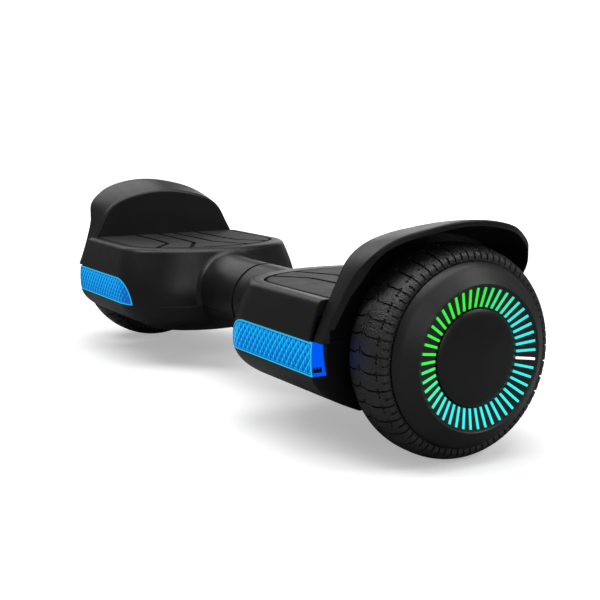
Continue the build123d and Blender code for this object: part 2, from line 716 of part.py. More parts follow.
def hinge_plane(x):
    """Plane across the port cap's hinge line at a given X."""
    return Plane(origin=(x, HINGE_Y, HINGE_Z), x_dir=(0, 1, 0), z_dir=(1, 0, 0))


def rear_disc(x, z, y_low, y_high, radius, mode=Mode.ADD):
    """Round boss or hole along Y at (X, Z), between two Y planes."""
    plane = Plane(origin=(x, y_low, z), x_dir=(-1, 0, 0), z_dir=(0, 1, 0))
    with BuildSketch(plane) as face:
        Circle(radius)
    extrude(face.sketch, amount=y_high - y_low, mode=mode)


right_shell = mirror(top_cover(-SEAM_X + SEAM_GAP / 2).part, about=Plane.YZ)
with BuildPart() as top_cover_right:
    add(right_shell)
    block((PORT_X - 17, PORT_X + 17), (POCKET_Y - 2, 96), (PARTING_Z + 0.5, 97))
    block((PORT_X - 15, PORT_X + 15), (POCKET_Y, 102), (66.5, 95), Mode.SUBTRACT)
    rear_disc(PORT_X, PORT_Z, 80, 95, 9.2, Mode.SUBTRACT)
    rear_disc(BUTTON_X, PORT_Z, 90, 102, BUTTON_R + 0.4, Mode.SUBTRACT)
export(top_cover_right.part, "top_cover_right")

export(mirror(bottom_cover(-SEAM_X + SEAM_GAP / 2).part, about=Plane.YZ), "bottom_cover_right")

with BuildPart() as battery_pack:
    block((-206, -132), (-45.4, 46.6), (40, 86))
    fillet(battery_pack.edges().filter_by(Axis.Y), 8)
    fillet(battery_pack.edges().group_by(Axis.Y)[0], 2)
    fillet(battery_pack.edges().group_by(Axis.Y)[-1], 2)
export(battery_pack.part, "battery_pack")

with BuildPart() as battery_strap:
    block((-178, -160), (-49.5, 49.5), (RAIL[1] - 6, 88.5))
    block((-178, -160), (-58, 58), (RAIL[1], RAIL[1] + 2))
    block((-179, -159), (-47.2, 47.2), (40, 86.4), Mode.SUBTRACT)
export(battery_strap.part, "battery_strap")

with BuildPart() as charge_port:
    rear_disc(PORT_X, PORT_Z, POCKET_Y - 12, POCKET_Y, 9.0)
    rear_disc(PORT_X, PORT_Z, POCKET_Y, POCKET_Y + 1.2, 11.0)
    rear_disc(PORT_X, PORT_Z, POCKET_Y + 1.2 - SOCKET_DEPTH, POCKET_Y + 3, SOCKET_R, Mode.SUBTRACT)
    block((PORT_X - 8, PORT_X + 8), (POCKET_Y, POCKET_Y + 1.2), (PORT_Z + 6, HINGE_Z + 1.8))
    for side in (-8, 5):
        block((PORT_X + side, PORT_X + side + 3), (POCKET_Y, HINGE_Y + 1.6), (HINGE_Z - 1.8, HINGE_Z + 1.8))
    with BuildSketch(hinge_plane(PORT_X - 20)):
        Circle(0.8)
    extrude(amount=40, mode=Mode.SUBTRACT)
export(charge_port.part, "charge_port")

with BuildPart() as cap_pin:
    with BuildSketch(hinge_plane(PORT_X - 8)):
        Circle(0.8)
    extrude(amount=16)
export(cap_pin.part, "cap_pin")

with BuildPart() as port_cap:
    rear_disc(PORT_X, PORT_Z, POCKET_Y + 1.6, POCKET_Y + 3.6, 10.4)
    fillet(port_cap.edges().group_by(Axis.Y)[-1], 0.8)
    block((PORT_X - 4.6, PORT_X + 4.6), (HINGE_Y - 1.2, HINGE_Y + 0.4), (PORT_Z + 8, HINGE_Z))
    with BuildSketch(hinge_plane(PORT_X - 4.6)) as knuckle:
        Circle(1.6)
    extrude(knuckle.sketch, amount=9.2)
    with BuildSketch(hinge_plane(PORT_X - 20)) as bore:
        Circle(0.85)
    extrude(bore.sketch, amount=40, mode=Mode.SUBTRACT)
export(port_cap.part, "port_cap")

with BuildPart() as power_button:
    rear_disc(BUTTON_X, PORT_Z, 89, 98, BUTTON_R)
    fillet(power_button.edges().group_by(Axis.Y)[-1], 1.0)
    rear_disc(BUTTON_X, PORT_Z, 88.8, 90.6, BUTTON_R + 1.6)
    rear_disc(BUTTON_X, PORT_Z, 85.6, 89, 2.0)
export(power_button.part, "power_button")

with BuildPart() as power_switch:
    block((BUTTON_X - 6, BUTTON_X + 6), (76, 84), (PORT_Z - 6, PORT_Z + 6))
    block((BUTTON_X - 8, BUTTON_X + 8), (74.4, 76), (PORT_Z - 12, PORT_Z + 8))
export(power_switch.part, "power_switch")
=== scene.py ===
import json
import math

import bmesh
import bpy
from mathutils import Matrix, Vector
from mathutils.bvhtree import BVHTree


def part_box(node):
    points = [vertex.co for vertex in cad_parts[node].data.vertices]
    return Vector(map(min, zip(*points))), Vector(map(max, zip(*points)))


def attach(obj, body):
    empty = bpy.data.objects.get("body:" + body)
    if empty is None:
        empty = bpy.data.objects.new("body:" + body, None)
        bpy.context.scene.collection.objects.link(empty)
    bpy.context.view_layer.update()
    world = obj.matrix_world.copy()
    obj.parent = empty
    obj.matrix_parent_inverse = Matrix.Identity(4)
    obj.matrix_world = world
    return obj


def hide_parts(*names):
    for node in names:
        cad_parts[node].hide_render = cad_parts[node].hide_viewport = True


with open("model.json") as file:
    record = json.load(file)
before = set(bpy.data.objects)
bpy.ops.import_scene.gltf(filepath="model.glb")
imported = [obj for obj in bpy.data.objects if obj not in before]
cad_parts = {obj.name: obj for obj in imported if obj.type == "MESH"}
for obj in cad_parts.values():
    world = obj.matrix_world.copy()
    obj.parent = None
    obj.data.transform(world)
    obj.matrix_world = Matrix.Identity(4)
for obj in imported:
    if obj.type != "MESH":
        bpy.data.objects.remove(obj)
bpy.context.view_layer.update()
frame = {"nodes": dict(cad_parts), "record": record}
NODES = frame["nodes"]
MM = 0.001


# ---- shader building blocks ----------------------------------------------------------------

class Shader:
    """A node material with short calls for the nodes that most finishes share."""

    def __init__(self, name):
        self.material = bpy.data.materials.new(name)
        self.material.use_nodes = True
        self.tree = self.material.node_tree
        self.surface = self.tree.nodes["Principled BSDF"]
        self.place = self.tree.nodes.new("ShaderNodeTexCoord").outputs["Object"]

    def link(self, source, target):
        self.tree.links.new(source, target)

    def node(self, kind, **settings):
        made = self.tree.nodes.new(kind)
        for key, value in settings.items():
            setattr(made, key, value)
        return made

    def fix(self, **values):
        """Set sockets of the surface that are the same all over."""
        for key, value in values.items():
            self.surface.inputs[key.replace("_", " ")].default_value = value

    def maths(self, operation, *terms):
        made = self.node("ShaderNodeMath", operation=operation)
        for socket, term in zip(made.inputs, terms):
            if isinstance(term, (int, float)):
                socket.default_value = term
            else:
                self.link(term, socket)
        return made.outputs[0]

    def noise(self, scale, detail=3.0, stretch=None):
        """Noise in the object's own frame; scale is in features per metre."""
        made = self.node("ShaderNodeTexNoise")
        made.inputs["Scale"].default_value = scale
        made.inputs["Detail"].default_value = detail
        source = self.place
        if stretch:
            mapping = self.node("ShaderNodeMapping")
            mapping.inputs["Scale"].default_value = stretch
            self.link(source, mapping.inputs["Vector"])
            source = mapping.outputs[0]
        self.link(source, made.inputs["Vector"])
        return made.outputs["Fac"]

    def ramp(self, source, *stops):
        """Colour ramp through (position, colour) stops."""
        made = self.node("ShaderNodeValToRGB")
        elements = made.color_ramp.elements
        while len(elements) < len(stops):
            elements.new(0.5)
        for element, (position, colour) in zip(elements, stops):
            element.position = position
            element.color = (*colour, 1.0)
        self.link(source, made.inputs["Fac"])
        return made.outputs["Color"]

    def spread(self, source, low, high):
        """Map a 0 to 1 value to low to high."""
        made = self.node("ShaderNodeMapRange")
        made.inputs["From Min"].default_value = 0.3
        made.inputs["From Max"].default_value = 0.7
        made.inputs["To Min"].default_value = low
        made.inputs["To Max"].default_value = high
        self.link(source, made.inputs["Value"])
        return made.outputs["Result"]

    def bump(self, height, depth, edge=0.0):
        """Fine relief, over edges softened by a radius in metres."""
        made = self.node("ShaderNodeBump")
        if edge:
            soft = self.node("ShaderNodeBevel", samples=6)
            soft.inputs["Radius"].default_value = edge
            self.link(soft.outputs["Normal"], made.inputs["Normal"])
        made.inputs["Distance"].default_value = depth
        made.inputs["Strength"].default_value = 1.0
        self.link(height, made.inputs["Height"])
        self.link(made.outputs["Normal"], self.surface.inputs["Normal"])


BLACK = ((0.0075, 0.0075, 0.0080), (0.0105, 0.0105, 0.0110))
SEAM_SHADE_WIDTH = 4.4 * MM     # band of painted shade between the halves
SEAM_MIDDLE = 0.9 * MM    # from the right cover's end to the middle of the gap


def moulded(name, dark, light, roughness, grain, depth, edge=0.0, **fixed):
    """Moulded plastic or rubber: cloudy tone, uneven gloss and a fine eroded grain."""
    shader = Shader(name)
    cloud = shader.noise(38.0, 4.0)
    shader.link(shader.ramp(cloud, (0.3, dark), (0.7, light)), shader.surface.inputs["Base Color"])
    shader.link(shader.spread(shader.noise(90.0, 5.0), *roughness), shader.surface.inputs["Roughness"])
    shader.bump(shader.noise(grain, 2.0), depth, edge)
    shader.fix(**fixed)
    return shader.material


def shell_plastic():
    """Black shell plastic with softened edges, with painted shade in and beside the seam between the two halves."""
    shader = Shader("shell")
    axes = shader.node("ShaderNodeSeparateXYZ")
    shader.link(shader.place, axes.inputs[0])
    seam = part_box("top_cover_right")[1].x
    # Painted shade: a black, fully rough band over the seam gap and the cover edges on either side of it.
    past = shader.maths("SUBTRACT", axes.outputs["X"], seam + SEAM_MIDDLE)
    outside = shader.maths("GREATER_THAN", shader.maths("ABSOLUTE", past), SEAM_SHADE_WIDTH / 2)
    tone = shader.ramp(shader.noise(38.0, 4.0), (0.3, BLACK[0]), (0.7, BLACK[1]))
    shade = shader.node("ShaderNodeMix", data_type="RGBA")
    shader.link(outside, shade.inputs["Factor"])
    shade.inputs["A"].default_value = (0.0, 0.0, 0.0, 1.0)
    shader.link(tone, shade.inputs["B"])
    shader.link(shade.outputs["Result"], shader.surface.inputs["Base Color"])
    gloss = shader.spread(shader.noise(90.0, 5.0), 0.31, 0.37)
    shader.link(shader.maths("MAXIMUM", gloss, shader.maths("SUBTRACT", 1.0, outside)),
                shader.surface.inputs["Roughness"])
    shader.bump(shader.noise(2600.0, 2.0), 0.00003, 1.6 * MM)
    shader.fix(Specular_IOR_Level=0.42)
    return shader.material


def deck_rubber():
    """Foot pad rubber with painted shade below its top face, in the grooves and around the rim."""
    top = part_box("foot_pad_left")[1].z
    shader = Shader("pad_rubber")
    axes = shader.node("ShaderNodeSeparateXYZ")
    shader.link(shader.place, axes.inputs[0])
    # Painted shade: nearly black wherever the surface lies below the top face, as in the grooves.
    depth = shader.maths("SUBTRACT", top, axes.outputs["Z"])
    recess_shade = shader.node("ShaderNodeMapRange", interpolation_type="SMOOTHSTEP")
    recess_shade.inputs["From Min"].default_value = 0.05 * MM
    recess_shade.inputs["From Max"].default_value = 0.45 * MM
    shader.link(depth, recess_shade.inputs["Value"])
    # Painted shade around the rim, where the softened normal leans away from straight up.
    soft = shader.node("ShaderNodeBevel", samples=6)
    soft.inputs["Radius"].default_value = 1.8 * MM
    lean = shader.node("ShaderNodeSeparateXYZ")
    shader.link(soft.outputs["Normal"], lean.inputs[0])
    rim = shader.node("ShaderNodeMapRange", interpolation_type="SMOOTHSTEP")
    rim.inputs["From Min"].default_value = 0.985
    rim.inputs["From Max"].default_value = 0.90
    shader.link(lean.outputs["Z"], rim.inputs["Value"])
    dark = shader.maths("MAXIMUM", recess_shade.outputs["Result"], rim.outputs["Result"])
    mat = shader.ramp(shader.noise(38.0, 4.0), (0.3, (0.015, 0.015, 0.0155)), (0.7, (0.021, 0.021, 0.0215)))
    tone = shader.node("ShaderNodeMix", data_type="RGBA")
    shader.link(dark, tone.inputs["Factor"])
    shader.link(mat, tone.inputs["A"])
    tone.inputs["B"].default_value = (0.0008, 0.0008, 0.0008, 1.0)
    shader.link(tone.outputs["Result"], shader.surface.inputs["Base Color"])
    gloss = shader.spread(shader.noise(90.0, 5.0), 0.46, 0.56)
    shader.link(shader.maths("MAXIMUM", gloss, dark), shader.surface.inputs["Roughness"])
    shader.bump(shader.noise(1700.0, 2.0), 0.00006)
    shader.fix(Specular_IOR_Level=0.35)
    return shader.material


def metal(name, dark, light, roughness, grain, stretch, depth=0.00002):
    """Worked metal: brushed or cast grain stretched along one direction."""
    shader = Shader(name)
    streak = shader.noise(grain, 4.0, stretch)
    shader.link(shader.ramp(streak, (0.3, dark), (0.7, light)), shader.surface.inputs["Base Color"])
    shader.link(shader.spread(streak, *roughness), shader.surface.inputs["Roughness"])
    shader.bump(streak, depth)
    shader.fix(Metallic=1.0)
    return shader.material


def circuit_board():
    """Green solder mask with copper tracks and pads."""
    shader = Shader("circuit")
    tracks = shader.node("ShaderNodeTexVoronoi", feature="DISTANCE_TO_EDGE")
    tracks.inputs["Scale"].default_value = 260.0
    shader.link(shader.place, tracks.inputs["Vector"])
    line = shader.ramp(tracks.outputs["Distance"], (0.03, (0.10, 0.30, 0.10)), (0.08, (0.01, 0.09, 0.04)))
    shader.link(line, shader.surface.inputs["Base Color"])
    shader.link(shader.spread(shader.noise(300.0), 0.25, 0.4), shader.surface.inputs["Roughness"])
    shader.bump(tracks.outputs["Distance"], 0.00005)
    return shader.material


def coil_wire():
    """Enamelled copper wire laid in turns."""
    shader = Shader("copper")
    turns = shader.node("ShaderNodeTexWave", bands_direction="Z")
    turns.inputs["Scale"].default_value = 500.0
    turns.inputs["Distortion"].default_value = 1.5
    shader.link(shader.place, turns.inputs["Vector"])
    shader.link(shader.ramp(turns.outputs["Fac"], (0.1, (0.25, 0.08, 0.03)), (0.8, (0.80, 0.34, 0.14))),
                shader.surface.inputs["Base Color"])
    shader.link(shader.spread(shader.noise(200.0), 0.2, 0.4), shader.surface.inputs["Roughness"])
    shader.bump(turns.outputs["Fac"], 0.0002)
    shader.fix(Metallic=0.9)
    return shader.material


BAR_COUNT = 47
WHITE_BAR = 354.0      # angle of the one white bar, degrees from +Y towards +Z


def light_guide():
    """Light bars: one colour per bar, green over the top and front, cyan elsewhere, one white."""
    low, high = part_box("light_ring_left")
    centre = (low + high) / 2
    shader = Shader("diffuser")
    axes = shader.node("ShaderNodeSeparateXYZ")
    shader.link(shader.place, axes.inputs[0])
    rise = shader.maths("SUBTRACT", axes.outputs["Z"], centre.z)
    angle = shader.maths("ARCTAN2", rise, axes.outputs["Y"])
    turn = shader.maths("DIVIDE", angle, 2 * math.pi)
    start = WHITE_BAR / 360.0 - 0.5 / BAR_COUNT
    share = shader.maths("FRACT", shader.maths("SUBTRACT", turn, start - 1.0))
    step = shader.maths("FLOOR", shader.maths("MULTIPLY", share, BAR_COUNT))
    level = shader.maths("DIVIDE", step, BAR_COUNT)
    cyan, teal, green = (0.035, 0.75, 0.72), (0.04, 0.80, 0.32), (0.035, 0.80, 0.05)
    tone = shader.ramp(level, (0.13, cyan), (0.19, teal), (0.26, green), (0.50, green), (0.58, teal), (0.66, cyan))
    mix = shader.node("ShaderNodeMix", data_type="RGBA")
    shader.link(shader.maths("LESS_THAN", step, 0.5), mix.inputs["Factor"])
    shader.link(tone, mix.inputs["A"])
    mix.inputs["B"].default_value = (1.0, 1.0, 1.0, 1.0)
    glow = mix.outputs["Result"]
    shader.link(glow, shader.surface.inputs["Emission Color"])
    shader.link(glow, shader.surface.inputs["Base Color"])
    shader.link(shader.spread(shader.noise(400.0), 0.3, 0.45), shader.surface.inputs["Roughness"])
    shader.bump(shader.noise(900.0), 0.00002)
    shader.fix(Emission_Strength=0.85)
    return shader.material


def lens_glow():
    """Lit blue lens: facets get painted shade and highlight by the way they face, a painted dark line lies just inside
    the pale rim, and the end is deep blue.
    """
    low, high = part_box("front_lens_left")
    shader = Shader("blue_lens")
    axes = shader.node("ShaderNodeSeparateXYZ")
    shader.link(shader.node("ShaderNodeNewGeometry").outputs["Normal"], axes.inputs[0])
    # Painted shade and highlight: facets that face up and towards minus X glow brighter, the others darker.
    facet_shading = shader.maths("ADD", shader.maths("MULTIPLY", axes.outputs["X"], -1.2),
                        shader.maths("MULTIPLY", axes.outputs["Z"], 0.8))
    facet_shading = shader.maths("ADD", facet_shading, 0.5)
    facets = shader.ramp(facet_shading, (0.22, (0.0, 0.12, 0.46)), (0.5, (0.0, 0.28, 0.75)), (0.75, (0.01, 0.53, 1.0)))
    zone = shader.node("ShaderNodeAttribute", attribute_name="zone").outputs["Fac"]
    # Painted shade: a dark line where the pale rim meets the facets.
    border = shader.ramp(zone, (0.0, (0.03, 0.50, 0.85)), (0.15, (0.03, 0.50, 0.85)), (0.3, (0.0, 0.08, 0.32)))
    rim = shader.node("ShaderNodeMix", data_type="RGBA")
    shader.link(shader.maths("GREATER_THAN", zone, 0.95), rim.inputs["Factor"])
    shader.link(border, rim.inputs["A"])
    shader.link(facets, rim.inputs["B"])
    end = shader.node("ShaderNodeMix", data_type="RGBA")
    shader.link(shader.maths("GREATER_THAN", zone, 1.5), end.inputs["Factor"])
    shader.link(rim.outputs["Result"], end.inputs["A"])
    end.inputs["B"].default_value = (0.0, 0.10, 0.95, 1.0)
    reach = shader.node("ShaderNodeSeparateXYZ")
    shader.link(shader.place, reach.inputs[0])
    across = shader.maths("ABSOLUTE", reach.outputs["X"])
    inward = shader.node("ShaderNodeMapRange")
    inward.inputs["From Min"].default_value = low.x + 22 * MM
    inward.inputs["From Max"].default_value = low.x
    inward.inputs["To Max"].default_value = 0.18
    shader.link(across, inward.inputs["Value"])
    violet = shader.node("ShaderNodeMix", data_type="RGBA")
    shader.link(inward.outputs["Result"], violet.inputs["Factor"])
    shader.link(end.outputs["Result"], violet.inputs["A"])
    violet.inputs["B"].default_value = (0.05, 0.14, 0.62, 1.0)
    shader.link(violet.outputs["Result"], shader.surface.inputs["Emission Color"])
    shader.link(shader.spread(shader.noise(500.0), 0.12, 0.22), shader.surface.inputs["Roughness"])
    shader.bump(shader.noise(1200.0), 0.00001)
    shader.surface.inputs["Base Color"].default_value = (0.0, 0.02, 0.08, 1.0)
    shader.fix(Emission_Strength=0.95, Specular_IOR_Level=0.05)
    return shader.material


MATERIALS = {
    "shell": shell_plastic(),
    "blue_lens": lens_glow(),
    "circuit": circuit_board(),
    "cast_frame": metal("cast_frame", (0.42, 0.43, 0.45), (0.60, 0.61, 0.63), (0.45, 0.6), 900.0, (1, 1, 1), 0.0001),
    "steel": metal("steel", (0.42, 0.42, 0.44), (0.62, 0.62, 0.64), (0.2, 0.32), 1500.0, (0.05, 1, 1)),
    "fixing": metal("fixing", (0.05, 0.05, 0.055), (0.10, 0.10, 0.11), (0.3, 0.45), 1200.0, (1, 1, 1)),
    "pad_rubber": deck_rubber(),
    "tyre_rubber": moulded("tyre_rubber", (0.006, 0.006, 0.0061), (0.024, 0.024, 0.0241), (0.26, 0.46), 950.0,
                           0.00070, Specular_IOR_Level=0.85),
    "hub_metal": metal("hub_metal", (0.06, 0.06, 0.065), (0.10, 0.10, 0.105), (0.4, 0.55), 700.0, (1, 1, 1), 0.00006),
    "lamination": metal("lamination", (0.18, 0.18, 0.20), (0.34, 0.34, 0.36), (0.3, 0.5), 1800.0, (4, 0.05, 0.05)),
    "magnet": metal("magnet", (0.42, 0.42, 0.44), (0.55, 0.55, 0.57), (0.18, 0.3), 500.0, (1, 1, 1)),
    "copper": coil_wire(),
    "trim": moulded("trim", (0.0125, 0.0125, 0.0128), (0.0165, 0.0165, 0.0168), (0.38, 0.44), 2400.0, 0.00002,
                    Specular_IOR_Level=0.5),
    "diffuser": light_guide(),
    "cap_plastic": moulded("cap_plastic", (0.0035, 0.0035, 0.0038), (0.0055, 0.0055, 0.0058), (0.32, 0.38), 2600.0,
                           0.00002, Specular_IOR_Level=0.55),
    "battery_wrap": moulded("battery_wrap", (0.01, 0.05, 0.25), (0.02, 0.08, 0.36), (0.2, 0.34), 150.0, 0.0004),
    "bronze": metal("bronze", (0.35, 0.20, 0.08), (0.52, 0.33, 0.14), (0.3, 0.45), 1100.0, (1, 1, 1)),
    "port_plastic": moulded("port_plastic", *BLACK, (0.28, 0.36), 2600.0, 0.00002),
    "port_rubber": moulded("port_rubber", (0.012, 0.012, 0.012), (0.018, 0.018, 0.018), (0.6, 0.72), 1600.0, 0.00006),
    "button_plastic": moulded("button_plastic", (0.22, 0.008, 0.008), (0.30, 0.012, 0.012), (0.24, 0.32), 2200.0,
                              0.00002),
    "bearing_steel": metal("bearing_steel", (0.48, 0.48, 0.50), (0.64, 0.64, 0.66), (0.12, 0.2), 1500.0, (1, 0.1, 0.1)),
}


def dress(piece, slot):
    """Give a piece the finish of a material slot."""
    piece.data.materials.clear()
    piece.data.materials.append(MATERIALS[slot])


def dress_cad_nodes():
    for entry in frame["record"]["subparts"]:
        dress(NODES[entry["node"]], entry["material_slot"])


# ---- mesh helpers --------------------------------------------------------------------------

def new_piece(name, mesh_data, slot, body, *replaced):
    """Make an object of a finished bmesh and tie it to its body, slot and CAD node."""
    mesh = bpy.data.meshes.new(name)
    mesh_data.to_mesh(mesh)
    mesh_data.free()
    piece = bpy.data.objects.new(name, mesh)
    bpy.context.scene.collection.objects.link(piece)
    dress(piece, slot)
    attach(piece, body)
    if replaced:
        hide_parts(*replaced)
    return piece


# ---- tyres -----------------------------------------------------------------------------------

PITCHES = 39              # tread blocks around the tyre
GROOVE = 2.1              # depth of the tread pattern, millimetres
GROOVE_WALL = 0.22        # width of a groove's sloped wall
SHOULDER_DROP = 6.8
CROSS = 0.55              # half width of a cross groove
TICK = 2.2                # half length of the short strokes across it
DOT = (3.6, 5.0)          # start and end of the dot beside a stroke
STROKE = (16.1, 17.3)     # strokes and dots lie this far from the middle of the tread
NOTCH = 0.7               # half width of a shoulder notch, half way between cross grooves
NOTCH_START = 19.8
HOOK = 3.0                # how far a cross groove bends along the tread near the middle
HOOK_REACH = 9.0


def ramp_box(value, low, high):
    """1 inside low to high, 0 outside, with a short sloped wall."""
    return max(0.0, min(1.0, (value - low) / GROOVE_WALL + 1, (high - value) / GROOVE_WALL + 1))


def tread_depth(across, along, pitch):
    """Depth of the pattern at a distance from the tread's middle and along one block, millimetres."""
    back = along - pitch
    groove = max(ramp_box(along, -CROSS, CROSS), ramp_box(back, -CROSS, CROSS)) * ramp_box(across, 1.5, 23.0)
    tick = max(ramp_box(along, -TICK, TICK), ramp_box(back, -TICK, TICK))
    ticks = tick * max(ramp_box(across, -0.6, 0.6), ramp_box(across, *STROKE))
    dots = ramp_box(along, *DOT) * ramp_box(across, *STROKE)
    notches = ramp_box(along, pitch / 2 - NOTCH, pitch / 2 + NOTCH) * ramp_box(across, NOTCH_START, 23.0)
    return GROOVE * max(groove, ticks, dots, notches)


def with_walls(*edges):
    """Mesh lines at the top and bottom of each groove wall: pairs of (place, outward direction)."""
    return [stop for place, outward in edges for stop in (place, place + outward * GROOVE_WALL)]


def tyre(side, outward):
    """Tyre with hooked cross grooves, strokes, dots and shoulder notches, turned about the axle."""
    node = f"tyre_{side}"
    low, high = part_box(node)
    centre = (low + high) / 2
    radius = (high.z - low.z) / 2 / MM
    half_width = (high.x - low.x) / 2 / MM
    pitch = 2 * math.pi * radius / PITCHES
    middle = pitch / 2
    along_stops = sorted([0.0, 9.0] + with_walls((CROSS, 1), (TICK, 1), (DOT[0], -1), (DOT[1], 1), (middle - NOTCH, -1),
                                                 (middle + NOTCH, 1), (pitch - TICK, -1), (pitch - CROSS, -1)))
    half_stops = sorted([2.6, 4.0, 5.5, 7.0, 9.0, 12.0, 14.4, 21.2] + with_walls(
        (0.6, 1), (1.5, -1), (STROKE[0], -1), (STROKE[1], 1), (NOTCH_START, -1)))
    across_stops = [-stop for stop in reversed(half_stops)] + half_stops
    # place across the tyre, fixed radius or None on the tread, share of the pattern cut into the sidewall
    profile = [(-19.9, 60.2, 0), (-19.9, 66.5, 0), (-20.6, 67.4, 0), (-21.8, 69.0, 0), (-22.1, 70.2, 1),
               (-22.3, 71.4, 1), (-22.05, 72.8, 1)]
    profile += [(x, None, 0) for x in across_stops]
    profile += [(22.05, 72.8, 1), (22.3, 71.4, 1), (22.3, 70.1, 1), (22.2, 69.0, 0), (21.9, 68.5, 0),
                (20.1, 68.3, 0), (20.1, 60.2, 0)]
    mesh = bmesh.new()
    rings = []
    for block in range(PITCHES):
        for along in along_stops:
            line = []
            for across, fixed_radius, bite in profile:
                depth = tread_depth(abs(across), along, pitch)
                if fixed_radius is None:
                    reach = radius - SHOULDER_DROP * (abs(across) / half_width) ** 2.96 - depth
                else:
                    reach = fixed_radius
                bend = max(0.0, 1.0 - abs(across) / HOOK_REACH)
                sway = -HOOK * bend * bend
                across -= math.copysign(bite * 0.6 * depth, across)
                turn = (block * pitch + along + sway) / radius
                line.append(mesh.verts.new((
                    centre.x + outward * across * MM,
                    centre.y + reach * MM * math.cos(turn),
                    centre.z + reach * MM * math.sin(turn))))
            rings.append(line)
    for index, line in enumerate(rings):
        following = rings[(index + 1) % len(rings)]
        for step in range(len(profile)):
            after = (step + 1) % len(profile)
            mesh.faces.new((line[step], line[after], following[after], following[step]))
    bmesh.ops.recalc_face_normals(mesh, faces=mesh.faces)
    for face in mesh.faces:
        face.smooth = True
    piece = new_piece(f"tyre_tread_{side}", mesh, "tyre_rubber", f"{side}_wheel", node)
    piece.data.set_sharp_from_angle(angle=math.radians(28))
    return piece


# ---- wheel trim -----------------------------------------------------------------------------

DISH_ROOT = 300.0         # the bend fades out behind this X, millimetres
DISH_FACE = 309.4
DISH_CENTRE = 36.0        # radius around the hub cap, where the face sinks most
DISH_EDGE = 52.6          # radius where the face rises most, inside the trim's lip
DISH_LIP = 53.9
DISH_SINK = -0.5
DISH_RISE = 4.3
LIP_RISE = 0.7
BAND_EDGE = 68.2          # outer radius of the trim
BAND_SINK = -1.5          # flattens the rounded band outside the lip


def dish_shift(radius):
    """Outward shift of the trim's face at a radius, millimetres."""
    if radius < DISH_CENTRE:
        return DISH_SINK * (radius / DISH_CENTRE) ** 2
    if radius < DISH_EDGE:
        return DISH_SINK + (DISH_RISE - DISH_SINK) * (radius - DISH_CENTRE) / (DISH_EDGE - DISH_CENTRE)
    if radius < DISH_LIP:
        return LIP_RISE + (DISH_RISE - LIP_RISE) * (DISH_LIP - radius) / (DISH_LIP - DISH_EDGE)
    share = min(1.0, (radius - DISH_LIP) / (BAND_EDGE - DISH_LIP))
    return LIP_RISE * (1.0 - share) + BAND_SINK * math.sin(math.pi * share)


def dished(name, slot, side, outward):
    """Copy of a piece of the CAD wheel trim with its face bent into a shallow cone."""
    node = f"{name}_{side}"
    low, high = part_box(f"tyre_{side}")
    centre = (low + high) / 2
    mesh = bmesh.new()
    mesh.from_mesh(NODES[node].data)
    bmesh.ops.remove_doubles(mesh, verts=mesh.verts, dist=0.01 * MM)
    for corner in mesh.verts:
        radius = math.hypot(corner.co.y - centre.y, corner.co.z - centre.z) / MM
        share = (abs(corner.co.x) / MM - DISH_ROOT) / (DISH_FACE - DISH_ROOT)
        corner.co.x += outward * dish_shift(radius) * max(0.0, min(1.0, share)) * MM
    for face in mesh.faces:
        face.smooth = True
    piece = new_piece(f"{name}_face_{side}", mesh, slot, f"{side}_wheel", node)
    kept = piece.data.attributes.get("custom_normal")
    if kept:
        piece.data.attributes.remove(kept)
    piece.data.set_sharp_from_angle(angle=math.radians(30))
    return piece


# ---- front lenses ------------------------------------------------------------------------------

DIAMOND = (7.0, 8.0)      # width and height of one facet diamond, millimetres
RIM = 1.2                 # smooth border of the lens
RELIEF = 0.9
LENS_THICK = 2.6
CELLS = 8                 # mesh cells per diamond
# end face of the lens: distance back from the front and depth, millimetres
LENS_END = ((0.2, 0.25), (0.6, 0.0), (1.2, 0.0), (5.2, 0.0), (5.5, 0.4), (6.0, 0.4), (6.3, 0.0), (12.4, 0.0))
LENS_END_TAPER = 0.22     # share by which the end face narrows towards its top


def lens_relief(edge, x, z):
    """Depth and zone of the lens surface, from the distance to its outline, millimetres."""
    if edge < RIM:
        return 0.0, 0.0
    a = (x / DIAMOND[0] + z / DIAMOND[1]) % 1.0
    b = (x / DIAMOND[0] - z / DIAMOND[1]) % 1.0
    peak = 1.0 - 2.0 * max(abs(a - 0.5), abs(b - 0.5))
    slope = min(1.0, (edge - RIM) / 0.5)
    return slope * (RELIEF - 0.8 * RELIEF * peak), 1.0


